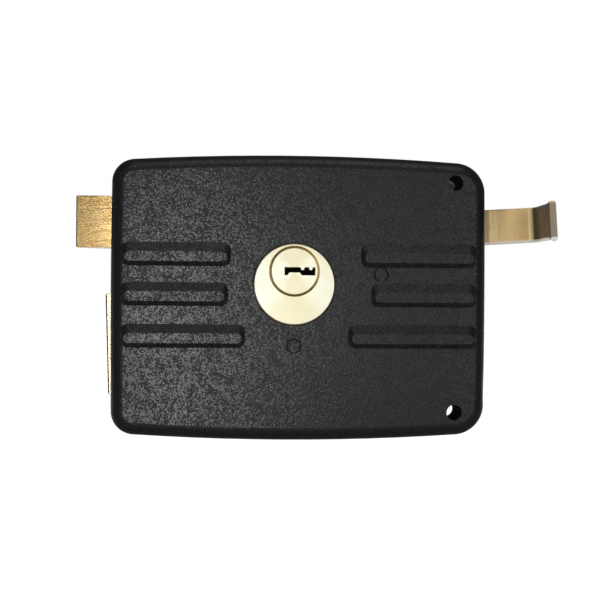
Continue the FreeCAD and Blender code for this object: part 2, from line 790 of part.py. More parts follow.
def deadbolt_head():
    """Rectangular bolt with small bevels round its end face, which leans a little."""
    body = block(deadbolt_tip, deadbolt_inner, deadbolt_back, deadbolt_front, deadbolt_bottom, deadbolt_top)
    lean = block(
        deadbolt_tip - deadbolt_height, deadbolt_tip, deadbolt_back - over, deadbolt_front + over,
        deadbolt_bottom - deadbolt_height, deadbolt_top + over)
    lean.rotate(V(deadbolt_tip, 0, deadbolt_top), V(0, 1, 0), -deadbolt_slant)
    body = body.cut(lean)
    end = min(body.Faces, key=lambda f: f.CenterOfMass.x)
    body = body.makeChamfer(deadbolt_edge, end.Edges)
    low, high = rack_back - rack_fit, rack_front + rack_fit
    seat = block(
        deadbolt_inner - tongue_length - rack_fit, deadbolt_inner + over, low, high,
        deadbolt_bottom - over, tongue_top() + rack_fit)
    body = body.cut(seat)
    for x, z in deadbolt_rivet_spots():
        body = body.cut(rod(x, z, rivet_r, deadbolt_back, deadbolt_front))
    return body


def rack_plate():
    """Flat plate that carries the deadbolt: a tongue in its head, a row of teeth and two guide slots."""
    pitch = math.pi * module
    half = (pitch / 2 - tooth_play) / 2
    lean = math.tan(math.radians(pressure_angle))
    root_half, tip_half = half + rack_dedendum * lean, half - rack_addendum * lean
    tip_z = rack_pitch_z + rack_addendum
    outline = [
        (deadbolt_inner - tongue_length, deadbolt_bottom + tongue_margin),
        (deadbolt_inner - tongue_length, tongue_top()),
        (deadbolt_inner, tongue_top()),
        (deadbolt_inner, rack_root_z),
    ]
    first = math.ceil(rack_teeth_left / pitch - 0.5)
    last = math.floor(rack_teeth_right / pitch - 0.5)
    for k in range(first, last + 1):
        x = (k + 0.5) * pitch
        outline += [(x - root_half, rack_root_z), (x - tip_half, tip_z), (x + tip_half, tip_z)]
        outline.append((x + root_half, rack_root_z))
    outline += [
        (rack_end_x, rack_root_z), (rack_end_x, rack_bottom_z), (deadbolt_inner, rack_bottom_z),
        (deadbolt_inner, deadbolt_bottom + tongue_margin),
    ]
    body = plate(outline, rack_back, rack_front)
    for x in guide_places:
        r = guide_r + guide_gap
        body = body.cut(slot(x, x + bolt_throw, rack_slot_z, r, rack_back - over, rack_front + over))
    for x, z in deadbolt_rivet_spots():
        body = body.cut(rod(x, z, rivet_r, rack_back, rack_front))
    return body


def deadbolt_rivets():
    spots = deadbolt_rivet_spots()
    return group([rod(x, z, rivet_r, deadbolt_back, deadbolt_front) for x, z in spots])


def bolt_guides():
    """Two shouldered posts, riveted in the back plate, that the rack plate's slots slide on."""
    made = []
    for x in guide_places:
        z = rack_slot_z
        post = rod(x, z, rivet_r, 0, plate_thick + over)
        post = post.fuse([
            rod(x, z, guide_base_r, plate_thick, rack_back - guide_gap),
            rod(x, z, guide_r, rack_back - over, rack_front + guide_gap + over),
            rod(x, z, guide_head_r, rack_front + guide_gap, rack_front + guide_gap + guide_head_thick),
        ])
        made.append(post.removeSplitter())
    return group(made)


def latch_rivet_spots():
    x = latch_inner - bar_lap / 2
    return [(x, bar_z + side * bar_width / 3) for side in (-1, 1)]


def latch_head():
    """Sprung bolt: flat towards the room, bevelled towards the gate."""
    front, back = -latch_front, -latch_back
    bevel_end = case_left - latch_bevel_gap
    outline = [
        V(latch_inner, front, latch_bottom), V(latch_tip, front, latch_bottom),
        V(latch_tip, front + latch_nose, latch_bottom), V(bevel_end, back, latch_bottom),
        V(latch_inner, back, latch_bottom),
    ]
    body = Part.Face(Part.makePolygon(outline + outline[:1])).extrude(V(0, 0, latch_height))
    body = body.makeChamfer(latch_edge, [e for e in body.Edges if e.CenterOfMass.x < latch_tip + 1e-6])
    half = bar_width / 2 + rack_fit
    seat = block(
        latch_inner - bar_lap - rack_fit, latch_inner + over, bar_back - rack_fit, bar_front + rack_fit,
        bar_z - half, bar_z + half)
    body = body.cut(seat)
    body = body.cut(along_x(rod_r, latch_inner - rod_seat, latch_inner + over))
    for x, z in latch_rivet_spots():
        body = body.cut(rod(x, z, rivet_r, latch_back, latch_front))
    return body


def latch_rivets():
    return group([rod(x, z, rivet_r, latch_back, latch_front) for x, z in latch_rivet_spots()])


def hook_line(x):
    """Height of the middle of the slanted hook strip at an x."""
    return hook_z_at_wall + (x - case_right) * math.tan(math.radians(hook_tilt))


def hook_rivet_spots():
    places = (hook_left_x + first_rivet_step, lever_pin_x + second_rivet_step)
    return [(x, hook_line(x)) for x in places]


def latch_bar():
    """Flat bar from the latch head, over the cylinder, to the hook."""
    z0, z1 = bar_z - bar_width / 2, bar_z + bar_width / 2
    body = block(latch_inner - bar_lap, bar_right_x, bar_back, bar_front, z0, z1)
    right = [e for e in edges_along(body, V(0, 1, 0)) if e.CenterOfMass.x > 0]
    body = body.makeFillet(bar_corner_r, right)
    spots = latch_rivet_spots() + hook_rivet_spots()
    for x, z in spots:
        body = body.cut(rod(x, z, rivet_r, bar_back, bar_front))
    return body.cut(rod(lever_pin_x, bar_z, lever_pin_r, bar_back, bar_front))


def hook_section(x, y_front, half_width):
    """Wire of the strip's cross-section in the plane across X, with its low edges rounder than its top ones."""
    y_back = y_front + hook_thick
    rounds = [
        (y_front, -half_width, hook_low_edge_r, 1, 1), (y_back, -half_width, hook_low_edge_r, -1, 1),
        (y_back, half_width, hook_top_edge_r, -1, -1), (y_front, half_width, hook_top_edge_r, 1, -1),
    ]
    ends = []
    for i, (y, z, r, to_y, to_z) in enumerate(rounds):
        along_z = V(x, y, z + to_z * r)
        along_y = V(x, y + to_y * r, z)
        near = r * (1 - math.sqrt(0.5))
        middle = V(x, y + to_y * near, z + to_z * near)
        first, second = (along_z, along_y) if i % 2 == 0 else (along_y, along_z)
        ends.append((first, middle, second))
    edges = []
    for i, (first, middle, second) in enumerate(ends):
        edges.append(Part.Arc(first, middle, second).toShape())
        edges.append(Part.LineSegment(second, ends[(i + 1) % len(ends)][0]).toShape())
    return Part.Wire(edges)


def pull_hook():
    """Flat strip with an upturned finger end, made level and then tilted to its slant."""
    y_front = -hook_front
    bend_x = hook_face_x - hook_bend_r
    half = hook_width / 2
    strip = Part.Face(hook_section(hook_left_x, y_front, half)).extrude(V(bend_x - hook_left_x, 0, 0))
    centre = V(bend_x, y_front - hook_bend_r, 0)
    start = Part.Face(hook_section(bend_x, y_front, half))
    bend = start.revolve(centre, V(0, 0, -1), hook_bend_angle)
    turn = FreeCAD.Placement(V(0, 0, 0), FreeCAD.Rotation(V(0, 0, -1), hook_bend_angle), centre)
    flare_x = bend_x + hook_arm - hook_flare
    sections = [hook_section(bend_x, y_front, half)]
    for share in hook_flare_steps:
        wider = (hook_end_width / 2 - half) * share ** 2
        sections.append(hook_section(flare_x + hook_flare * share, y_front, half + wider))
    for section in sections:
        section.Placement = turn.multiply(section.Placement)
    arm = Part.makeLoft(sections, True, True)
    body = strip.fuse([bend, arm]).removeSplitter()
    for side in (-1, 1):
        corner = hook_corner(bend_x + hook_arm, y_front, side)
        corner.Placement = turn.multiply(corner.Placement)
        body = body.cut(corner)
    body.translate(V(0, 0, hook_z_at_wall))
    body.rotate(V(case_right, 0, hook_z_at_wall), V(0, 1, 0), -hook_tilt)
    for x, z in hook_rivet_spots():
        body = body.cut(rod(x, z, rivet_r, bar_front - over, hook_front + over))
    return body.cut(rod(lever_pin_x, bar_z, lever_pin_r, bar_front - over, hook_front + over))


def hook_corner(end_x, y_front, side):
    """What rounding takes off one corner of the finger end, before the bend."""
    r = hook_corner_r
    z = side * (hook_end_width / 2 - r)
    y = y_front - over
    thick = hook_thick + 2 * over
    low = min(z, z + side * 2 * r)
    chip = Part.makeBox(2 * r, thick, 2 * r, V(end_x - r, y, low))
    return chip.cut(Part.makeCylinder(r, thick, V(end_x - r, y, z), V(0, 1, 0)))


def hook_rivets():
    """Rivets through the bar and the hook, with a low head towards the room."""
    made = []
    for x, z in hook_rivet_spots():
        shank = rod(x, z, rivet_r, bar_back, hook_front)
        head = rod(x, z, rivet_head_r, hook_front, hook_front + rivet_head_thick)
        made.append(shank.fuse(head).removeSplitter())
    return group(made)


def lever_depths():
    middle = rack_back + rack_thick / 2
    return middle - lever_thick / 2, middle + lever_thick / 2


def lever_pin():
    """Pin on the bar that works in the lever's slot and also holds the hook."""
    body = rod(lever_pin_x, bar_z, lever_pin_r, lever_depths()[0] - lever_pin_past, hook_front)
    head = rod(lever_pin_x, bar_z, lever_pin_head_r, hook_front, hook_front + rivet_head_thick)
    return body.fuse(head).removeSplitter()


def latch_lever():
    """Long flat lever from its stud to the bar's pin, drawn upright and then leaned to its rest place."""
    back, front = lever_depths()
    top = bar_z + lever_top_past
    outline = [
        (lever_x - lever_half_width, lever_z), (lever_x - lever_top_half_width, top),
        (lever_x + lever_top_half_width, top), (lever_x + lever_half_width, lever_z),
    ]
    foot = rod(lever_x, lever_z, lever_half_width, back, front)
    body = plate(outline, back, front).fuse(foot).removeSplitter()
    top_corners = [e for e in edges_along(body, V(0, 1, 0)) if e.CenterOfMass.z > bar_z]
    body = body.makeFillet(lever_corner_r, top_corners)
    body = body.cut(rod(lever_x, lever_z, stud_r + axle_gap, back, front))
    longest = lever_reach / math.cos(math.radians(lever_swing))
    r = lever_pin_r + lever_slot_gap
    low, high = bar_z - lever_slot_end, lever_z + longest + lever_slot_end
    body = body.cut(block(lever_x - r, lever_x + r, back, front, low, high))
    body = body.cut(rod(lever_x, low, r, back, front)).cut(rod(lever_x, high, r, back, front))
    body.rotate(V(lever_x, 0, lever_z), V(0, 1, 0), -lever_swing)
    return body


def lever_stud():
    """Stud riveted in the back plate, with a shoulder behind the lever and a clip groove before it."""
    back, front = lever_depths()
    body = rod(lever_x, lever_z, stud_r, 0, front + small_clip_thick + stud_past)
    body = body.fuse(rod(lever_x, lever_z, stud_flange_r, plate_thick, back - guide_gap)).removeSplitter()
    groove = (front + guide_gap, front + guide_gap + small_clip_thick + axle_gap)
    ring = rod(lever_x, lever_z, stud_r + over, *groove)
    return body.cut(ring.cut(rod(lever_x, lever_z, stud_r - stud_groove, *groove)))


def lever_clip():
    front = lever_depths()[1] + guide_gap
    stretch = (front, front + small_clip_thick)
    ring = rod(lever_x, lever_z, stud_clip_r, *stretch)
    ring = ring.cut(rod(lever_x, lever_z, stud_r - stud_groove + axle_gap, *stretch))
    mouth = stud_r * small_clip_mouth
    return ring.cut(block(lever_x - mouth, lever_x + mouth, *stretch, lever_z, lever_z + stud_clip_r + over))


def along_x(r, x0, x1):
    """Round bar along X on the spring's axis."""
    return Part.makeCylinder(r, x1 - x0, V(x0, -spring_depth, bar_z), V(1, 0, 0))


def spring_rod():
    """Rod fixed in the latch head, which runs through the bracket and keeps the spring straight."""
    return along_x(rod_r, latch_inner - rod_seat, bracket_x + bracket_thick + rod_reach)


def latch_spring():
    """Helical spring round the rod, between the latch head and the bracket."""
    start, end = latch_inner + spring_wire / 2 + spring_seat_gap, bracket_x - spring_wire / 2 - spring_seat_gap
    pitch = (end - start) / spring_turns
    mean_r = spring_r - spring_wire / 2
    helix = Part.makeLongHelix(pitch, end - start, mean_r, 0, False)
    section = Part.Wire([Part.Circle(V(mean_r, 0, 0), V(0, 1, 0), spring_wire / 2).toShape()])
    body = helix.makePipeShell([section], True, True)
    body.rotate(V(0, 0, 0), V(0, 1, 0), 90)
    body.translate(V(start, -spring_depth, bar_z))
    return body


def bracket_stem_z():
    low = bar_z + bar_width / 2 + bracket_stem_gap
    return low, low + bracket_stem


def bracket_rivet_z():
    return sum(bracket_stem_z()) / 2


def bracket_rivet_places():
    return [bracket_x + bracket_thick + step for step in foot_rivet_steps]


def spring_bracket():
    """Bent bracket on the back plate that reaches over the bar and carries the spring's far end."""
    low, high = bracket_stem_z()
    arm_back = bar_front + bracket_clear
    arm_low = bar_z - bracket_arm_below
    far = bracket_x + bracket_thick
    body = block(bracket_x, far, plate_thick, bracket_front, low, high)
    body = body.fuse([
        block(bracket_x, far, arm_back, bracket_front, arm_low, high),
        block(bracket_x, far + foot_length, plate_thick, plate_thick + foot_thick, low, high),
    ]).removeSplitter()
    body = body.cut(along_x(rod_r + rod_gap, bracket_x - over, far + over))
    for x in bracket_rivet_places():
        body = body.cut(rod(x, bracket_rivet_z(), rivet_r, plate_thick, plate_thick + foot_thick))
    return body


def bracket_rivets():
    front = plate_thick + foot_thick
    made = []
    for x in bracket_rivet_places():
        z = bracket_rivet_z()
        shank = rod(x, z, rivet_r, 0, front)
        made.append(shank.fuse(rod(x, z, rivet_head_r, front, front + rivet_head_thick)).removeSplitter())
    return group(made)


def post_spots():
    return [(side * post_x, post_z) for side in (-1, 1)]


def bridge_posts():
    """Two posts, riveted in the back plate, that carry the bridge; their front ends are tapped."""
    made = []
    for x, z in post_spots():
        post = rod(x, z, rivet_r, 0, plate_thick + over).fuse(rod(x, z, post_r, plate_thick, bridge_back))
        thread_end = bridge_back - post_screw_length - thread_run_out
        tapped = rod(x, z, post_screw_r + thread_gap, thread_end, bridge_back + over)
        made.append(post.removeSplitter().cut(tapped))
    return group(made)


def bridge_plate():
    """Plate across the two posts, which the inner cylinder is screwed to."""
    body = block(-bridge_half_width, bridge_half_width, bridge_back, bridge_front, bridge_low, bridge_high)
    body = body.makeFillet(bridge_corner_r, edges_along(body, V(0, 1, 0)))
    cuts = [rod(0, plug_z, bridge_notch_r, bridge_back, bridge_front)]
    cuts += [rod(x, z, post_screw_r + thread_gap, bridge_back, bridge_front) for x, z in post_spots()]
    cuts += [rod(x, z, cylinder_screw_r + thread_gap, bridge_back, bridge_front) for x, z in screw_spots()]
    for cut in cuts:
        body = body.cut(cut)
    return body


def bridge_screws():
    made = []
    for x, z in post_spots():
        screw = rod(x, z, post_screw_r, bridge_back - post_screw_length, bridge_front)
        screw = screw.fuse(rod(x, z, pan_head_r, bridge_front, bridge_front + pan_head_thick)).removeSplitter()
        made.append(cross_recess(screw, x, z, pan_head_r, bridge_front + pan_head_thick, 1))
    return group(made)


def inner_cylinder_screws():
    """Screws through the bridge into the inner cylinder, with their heads towards the gate."""
    made = []
    for x, z in screw_spots():
        screw = rod(x, z, cylinder_screw_r, bridge_back, bridge_front + cylinder_screw_length)
        screw = screw.fuse(rod(x, z, pan_head_r, bridge_back - pan_head_thick, bridge_back)).removeSplitter()
        made.append(cross_recess(screw, x, z, pan_head_r, bridge_back - pan_head_thick, -1))
    return group(made)


def outer_cylinder_screws():
    """Countersunk screws through the back plate into the outer cylinder."""
    made = []
    wide = cylinder_screw_r + csk_extra
    for x, z in screw_spots():
        screw = rod(x, z, cylinder_screw_r, -cylinder_screw_length, plate_thick - csk_extra)
        screw = screw.fuse(cone(x, z, wide, cylinder_screw_r, -plate_thick, -plate_thick + csk_extra))
        made.append(cross_recess(screw.removeSplitter(), x, z, wide, plate_thick, 1))
    return group(made)


outer_face = -outer_barrel_length
outer_plug_length = outer_barrel_length - clip_pocket_depth

save("front_cover", front_cover())
save("back_plate", back_plate())
save("cover_screws", cover_screws())
save("bridge_plate", bridge_plate())
save("bridge_posts", bridge_posts())
save("bridge_screws", bridge_screws())
save("inner_cylinder_body", barrel(inner_face, 1, inner_length, 0))
save("outer_cylinder_body", barrel(outer_face, -1, outer_barrel_length, clip_pocket_depth))
save("inner_cylinder_screws", inner_cylinder_screws())
save("outer_cylinder_screws", outer_cylinder_screws())
save("inner_plug", plug(
    inner_face, 1, inner_length, inner_face - tang_back(), tang_width, tang_thick))
save("outer_plug", plug(
    outer_face, -1, outer_plug_length, outer_tail_depth - outer_face, outer_tail_width, outer_tail_thick))
save("inner_plug_clip", plug_clip(inner_face, 1, inner_length))
save("outer_plug_clip", plug_clip(outer_face, -1, outer_plug_length))
for side, face, way in (("inner", inner_face, 1), ("outer", outer_face, -1)):
    save(side + "_key_pins", key_pins(face, way))
    save(side + "_driver_pins", driver_pins(face, way))
    save(side + "_pin_springs", pin_springs(face, way))
    save(side + "_chamber_caps", chamber_caps(face, way))
save("drive_gear", drive_gear())
save("reduction_gear", reduction_gear())
save("gear_axle", gear_axle())
save("axle_clip", axle_clip())
save("deadbolt_head", deadbolt_head())
save("rack_plate", rack_plate())
save("deadbolt_rivets", deadbolt_rivets())
save("bolt_guides", bolt_guides())
save("latch_head", latch_head())
save("latch_bar", latch_bar())
save("latch_rivets", latch_rivets())
save("pull_hook", pull_hook())
save("hook_rivets", hook_rivets())
save("lever_pin", lever_pin())
save("latch_lever", latch_lever())
save("lever_stud", lever_stud())
save("lever_clip", lever_clip())
save("spring_rod", spring_rod())
save("latch_spring", latch_spring())
save("spring_bracket", spring_bracket())
save("bracket_rivets", bracket_rivets())
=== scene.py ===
"""Dressed gate lock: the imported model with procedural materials, soft studio light and the photo's view."""
import bpy
import math
from mathutils import Matrix, Vector


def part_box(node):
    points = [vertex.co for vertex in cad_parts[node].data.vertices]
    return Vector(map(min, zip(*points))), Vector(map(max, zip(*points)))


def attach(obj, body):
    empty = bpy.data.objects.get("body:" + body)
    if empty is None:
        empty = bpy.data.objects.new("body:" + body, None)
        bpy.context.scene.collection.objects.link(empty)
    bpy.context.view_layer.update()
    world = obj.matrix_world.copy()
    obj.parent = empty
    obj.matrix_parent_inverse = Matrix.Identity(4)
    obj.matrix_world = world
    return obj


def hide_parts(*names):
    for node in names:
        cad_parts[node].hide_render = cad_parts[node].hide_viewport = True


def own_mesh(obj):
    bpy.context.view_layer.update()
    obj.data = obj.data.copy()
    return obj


MM = 0.001
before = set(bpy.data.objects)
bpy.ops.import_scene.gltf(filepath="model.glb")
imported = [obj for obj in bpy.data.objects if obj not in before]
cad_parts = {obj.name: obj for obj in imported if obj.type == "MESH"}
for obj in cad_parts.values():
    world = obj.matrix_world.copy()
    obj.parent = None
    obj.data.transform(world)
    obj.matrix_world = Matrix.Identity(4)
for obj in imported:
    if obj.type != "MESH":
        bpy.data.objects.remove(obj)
scene = bpy.context.scene
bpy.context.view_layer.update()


def rgb(r, g, b):
    return (r, g, b, 1.0)


# Camera, fitted to the photograph
CAMERA_PLACE = Vector((-26.23, -427.88, -5.27)) * MM
CAMERA_YAW = 4.1                # degrees towards the hook's side
CAMERA_ROLL = 0.4
CAMERA_REACH = (0.01, 20.0)     # the nearest and the farthest that it shows, in metres
FOCAL_PX = 1168.0
FRAME_PX = 600.0
SENSOR_MM = 36.0

# Places on the lock that the materials follow
FACE_Y = -34.0 * MM             # the cover's face
PLUG_AXIS = Vector((0, 0, 4.4)) * MM
CYLINDER_AXIS = Vector((0, 0, 0))
BORE_R = 9.0 * MM               # within this of the plug's axis, what lies deep takes painted shade
MOUNT_HOLES = ((55.1, 35.0), (55.1, -43.4))     # X and Z, in millimetres
HOLE_R = 2.9 * MM
HOOK_X = 70.0 * MM              # where the hook comes into the photo's view beside the case

# Paint. A span gives where a fade starts and where it ends
PAINT_DARK = rgb(0.001, 0.001, 0.0012)
PAINT_LIGHT = rgb(0.0085, 0.0085, 0.0095)       # on the flecks
# painted shade: the paint inside the mounting holes is set to its darkest
PAINT_HOLE_SHADE = rgb(0.001, 0.001, 0.001)
GRAIN_SCALE = 800.0
GRAIN_SPAN = (0.36, 0.64)       # of the noise, from the grain's pits to its tops
GRAIN_DEPTH = 0.022 * MM
RIM_FADE = (0.15 * MM, 1.2 * MM)                # behind the face, where the grain fades
RIM_GRAIN = 0.15                # and how much of it the rim keeps
FLECK_SCALE = 1.9 * GRAIN_SCALE
FLECK_SPAN = (0.615, 0.725)
CLUSTER_SCALE = 240.0           # the flecks stand in clusters
CLUSTER_SHARE = 0.35
PATCH_SCALE = 35.0              # and the enamel is a little duller in patches
PATCH_ROUGH = 0.06
HOLE_FADE = (0.3 * MM, 1.5 * MM)                # behind the face, where a hole grows matt and takes painted shade
HOLE_ROUGH = 0.7
PAINT_ROUGH = (0.42, 0.17)      # between the flecks and on them

# Machined brass
STREAK_SHARE, CLOUD_SHARE, FINE_SHARE = 0.4, 0.3, 0.3
BRASS_CLOUD_SCALE = 260.0
BRASS_FINE_SCALE = 1300.0
BRASS_SPAN = (0.42, 0.58)
STREAK_BUMP = 0.5
EDGE_SHADE_TURN = (0.3, 0.6)       # painted shade on the edges, by how far a surface faces up, down or to the left
EDGE_SHADE_BORDER = (0.1 * MM, 0.45 * MM)          # from the top and low edges
EDGE_SHADE_SHARE = 0.7             # of the border
EDGE_SHADE_DEPTH = (0.5 * MM, 1.0 * MM)            # behind the front

# Turned brass
TURNED_COLOURS = (rgb(0.94, 0.93, 0.78), rgb(0.91, 0.87, 0.64))
TURNED_CLOUD_SCALE = 160.0
TURNED_CLOUD_SPAN = (0.3, 0.7)
TURNED_ROUGH = (0.14, 0.19)
RINGS_SCALE = 2600.0
RINGS_BUMP = 0.35
RINGS_DEPTH = 0.012 * MM
SECTOR_SHEEN_COLOUR = rgb(0.80, 0.73, 0.46)           # painted sheen above and below the axis, for the turned face's highlights
SECTOR_SPAN = (0.45, 1.0)
SECTOR_SHARE = 0.65
# painted reflection: the bevelled rim is tinted a darker gold for the dark face that it mirrors
RIM_SHADE_COLOUR = rgb(0.62, 0.44, 0.20)
RIM_TURN = (0.5, 0.93)          # how far a surface faces the front or the back
RIM_SHARE = 0.85
GROOVE_SHADE_COLOUR = rgb(0.40, 0.32, 0.15)           # painted shade in the gap around the plug
GROOVE_WIDTH = (0.15 * MM, 0.45 * MM)
GROOVE_SHARE = 0.75
DEEP_SHADE_COLOUR = rgb(0.025, 0.018, 0.010)         # painted shade deep in the keyway and around the plug
DEEP_SHADE_FADE = 0.5 * MM
DEEP_ROUGH = 0.4

# Plated steel
LINES_SCALE = 900.0
LINES_SHARE, BLOTCH_SHARE = 0.4, 0.6
BLOTCH_SCALE = 90.0
STEEL_SPAN = (0.35, 0.65)
PITS_SCALE = 700.0
PITS_SPAN = (0.24, 0.30)
PITS_SHADE = 0.7
PITS_HEIGHT = 0.6
STEEL_BUMP = 0.35
STEEL_DEPTH = 0.02 * MM
STEEL_ROUGH = (0.06, -0.04)     # more where it is dark, less where it is light

# The hook's own marks
ARM_TURN = (0.7, 0.92)          # how far a surface faces the left where it is the bent arm
# painted shade: the bent arm is coloured dark for the dark reflection it shows, darkest near the tip
ARM_SHADE_COLOUR = rgb(0.080, 0.052, 0.031)
ARM_END_SHADE_COLOUR = rgb(0.008, 0.004, 0.002)
ARM_END_SPAN = (3.0 * MM, 16.0 * MM)            # from the hook's tip
ARM_DULL = 0.8
BEND_HIGHLIGHT_START, BEND_HIGHLIGHT_END = (0.06, 0.25), (0.62, 0.82)       # painted highlight where the bend starts, by the same turn
BEND_HIGHLIGHT_COLOUR = rgb(0.74, 0.56, 0.28)
FLAT_LIGHT_COLOUR = rgb(0.84, 0.58, 0.27)             # painted light: a lighter dull colour where a clean one would mirror the dark arm
FLAT_SPAN = (3.5 * MM, 8.5 * MM)                # from HOOK_X
FLAT_TURN = (0.1, 0.3)
FLAT_SHARE = 0.7
FLAT_DULL = 0.8
CASE_SHADOW_COLOUR = rgb(0.05, 0.04, 0.02)           # painted shadow that the case casts on the hook beside it
CASE_SHADOW_START, CASE_SHADOW_END = (2.2 * MM, 1.0 * MM), 0.8 * MM       # before and past HOOK_X
CASE_SHADOW_SHARE = 0.5
TIP_COLOUR = rgb(0.28, 0.225, 0.165)
TIP_SPAN = (0.1 * MM, 0.5 * MM)
LOW_EDGE_HIGHLIGHT = rgb(0.86, 0.80, 0.73)         # painted highlight: a pale, dull colour on the rounded low edge, for the bright light that it mirrors
LOW_EDGE_HIGHLIGHT_TURN = (0.04, 0.22)
DULL_SHARE = 0.85               # how much less metallic the dull places are
HOOK_GLANCE = rgb(0.15, 0.15, 0.15)             # what is left of its sheen at a low angle

# The latch's spring
SPRING_WIRE_R = 0.4 * MM
SPRING_TURNS = 9
SPRING_STEPS = 32               # around one turn
WIRE_SIDES = 10

# Light, in metres and at a plain level
WHITE = (1, 1, 1)
WORLD_COLOUR = (0.97, 0.98, 1.0)
WORLD_LIGHT = 0.70
ROOM_COLOUR = (0.96, 0.97, 1.0)
ROOM_DIM = 0.10                 # how bright the dark sides of the studio are in a mirror
BACKDROP_LIGHT = 0.45           # and how bright the backdrop behind it is
BACKDROP_EDGE = (0.75, 0.98)    # where the backdrop begins, by the Y part of the direction
FLOOR_Z = -0.16
FLOOR_HALF = 4.0
FLOOR_GREY = 0.82
FLOOR_GLOW = 0.50
FLOOR_DIM = 0.22                # the floor's shade in front of the lock, as the lock mirrors it
FLOOR_BEHIND = (0.0, 0.6)       # behind the lock the floor shows as backdrop in a mirror too
PANELS = (                      # name, place, size and radiance
    ("left_panel", (-0.067, -0.64, -0.07), (0.050, 0.32), 11.0),
    ("front_panel", (-0.02, -0.64, 0.03), (0.36, 0.36), 0.32),
    ("middle_panel", (0.060, -0.64, 0.00), (0.09, 0.16), 0.66),
    ("upper_panel", (0.0, -0.50, 0.50), (0.5, 0.25), 0.5),
    ("right_panel", (0.27, -0.60, 0.03), (0.18, 0.36), 0.95),
    ("high_panel", (0.10, -0.35, 0.80), (0.5, 0.4), 1.0),
)


class Nodes:
    """A short way to write a material's nodes."""

    def __init__(self, name):
        self.material = bpy.data.materials.new(name)
        self.material.use_nodes = True
        self.tree = self.material.node_tree
        self.shader = self.tree.nodes["Principled BSDF"]
        self.place = self.add("ShaderNodeTexCoord").outputs["Object"]

    def add(self, kind, **settings):
        node = self.tree.nodes.new(kind)
        for key, value in settings.items():
            setattr(node, key, value)
        return node

    def put(self, socket, value):
        if isinstance(value, bpy.types.NodeSocket):
            self.tree.links.new(value, socket)
        elif value is not None:
            socket.default_value = value

    def math(self, operation, a, b=None, clamp=False):
        node = self.add("ShaderNodeMath", operation=operation, use_clamp=clamp)
        self.put(node.inputs[0], a)
        self.put(node.inputs[1], b)
        return node.outputs[0]

    def vector(self, operation, a, b=None):
        node = self.add("ShaderNodeVectorMath", operation=operation)
        self.put(node.inputs[0], a)
        self.put(node.inputs[1], b)
        return node.outputs["Value" if operation in ("LENGTH", "DISTANCE") else "Vector"]

    def part(self, vector, axis):
        node = self.add("ShaderNodeSeparateXYZ")
        self.put(node.inputs[0], vector)
        return node.outputs[axis]

    def facing(self, axis):
        """How far the surface faces along an axis of the lock, from -1 to 1."""
        return self.part(self.add("ShaderNodeNewGeometry").outputs["Normal"], axis)

    def noise(self, scale, detail=3.0, rough=0.5, stretch=None):
        at = self.place if stretch is None else self.vector("MULTIPLY", self.place, stretch)
        node = self.add("ShaderNodeTexNoise")
        self.put(node.inputs["Vector"], at)
        self.put(node.inputs["Scale"], scale)
        self.put(node.inputs["Detail"], detail)
        self.put(node.inputs["Roughness"], rough)
        return node.outputs["Fac"]

    def ramp(self, value, low, high, out_low=0.0, out_high=1.0, smooth=True):
        node = self.add("ShaderNodeMapRange", interpolation_type="SMOOTHSTEP" if smooth else "LINEAR")
        for socket, v in zip(node.inputs, (value, low, high, out_low, out_high)):
            self.put(socket, v)
        return node.outputs[0]

    def mix(self, factor, a, b):
        node = self.add("ShaderNodeMix", data_type="RGBA")
        self.put(node.inputs[0], factor)
        self.put(node.inputs[6], a)
        self.put(node.inputs[7], b)
        return node.outputs[2]

    def bump(self, height, strength, distance):
        node = self.add("ShaderNodeBump")
        self.put(node.inputs["Height"], height)
        self.put(node.inputs["Strength"], strength)
        self.put(node.inputs["Distance"], distance)
        return node.outputs[0]

    def set(self, **values):
        for key, value in values.items():
            self.put(self.shader.inputs[key.replace("_", " ")], value)
        return self.material


def wrinkle_paint():
    """Black stove enamel, grained like orange peel on the face, smoother at the rim, and matt with painted shade in
    the holes.
    """
    n = Nodes("wrinkle_paint")
    y = n.part(n.place, "Y")
    on_face = n.ramp(y, FACE_Y + RIM_FADE[0], FACE_Y + RIM_FADE[1], 1.0, RIM_GRAIN)
    grain = n.noise(GRAIN_SCALE, 3.0, 0.7)
    height = n.math("MULTIPLY", n.ramp(grain, *GRAIN_SPAN), on_face)
    cluster = n.math("MULTIPLY", n.noise(CLUSTER_SCALE, 3.0, 0.6), CLUSTER_SHARE)
    flake = n.math("ADD", n.noise(FLECK_SCALE, 2.0, 0.6), cluster)
    fleck = n.math("MULTIPLY", n.ramp(flake, *FLECK_SPAN), on_face)
    near = None
    for x, z in MOUNT_HOLES:
        away = n.vector("DISTANCE", n.vector("MULTIPLY", n.place, (1, 0, 1)), Vector((x, 0, z)) * MM)
        close = n.math("LESS_THAN", away, HOLE_R)
        near = close if near is None else n.math("MAXIMUM", near, close)
    inside = n.math("MULTIPLY", n.ramp(y, FACE_Y + HOLE_FADE[0], FACE_Y + HOLE_FADE[1]), near)
    tint = n.mix(inside, n.mix(fleck, PAINT_DARK, PAINT_LIGHT), PAINT_HOLE_SHADE)
    patch = n.math("MULTIPLY", n.noise(PATCH_SCALE), PATCH_ROUGH)
    rough = n.math("ADD", n.ramp(fleck, 0.0, 1.0, *PAINT_ROUGH, smooth=False), patch)
    rough = n.math("ADD", n.math("MULTIPLY", inside, HOLE_ROUGH), rough, clamp=True)
    return n.set(Base_Color=tint, Roughness=rough, Normal=n.bump(height, 1.0, GRAIN_DEPTH))


